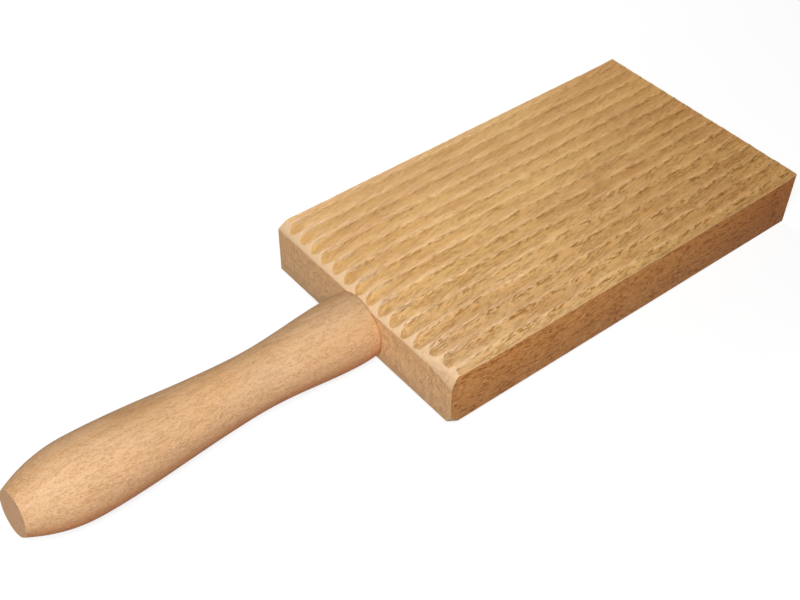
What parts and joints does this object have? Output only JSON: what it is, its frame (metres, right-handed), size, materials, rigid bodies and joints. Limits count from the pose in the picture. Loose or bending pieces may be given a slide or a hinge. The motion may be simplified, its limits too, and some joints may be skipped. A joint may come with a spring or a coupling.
{
  "type": "gnocchi board",
  "caption": "Wooden gnocchi board: a thick rectangular block with lengthwise scalloped grooves on its top face and a turned handle dowelled into one end.",
  "frame": {"origin": "middle of the board's flat underside", "axes": "+X along the grooves, away from the handle; +Y to the left of someone who holds the handle; +Z out of the grooved face"},
  "size_m": [0.2008, 0.065, 0.0186],
  "materials": {
    "board_wood": "matte",
    "handle_wood": "matte",
    "dowel_wood": "matte"
  },
  "bodies": {
    "root": {"board": "board_wood", "handle": "handle_wood", "dowel": "dowel_wood"}
  },
  "joints": []
}
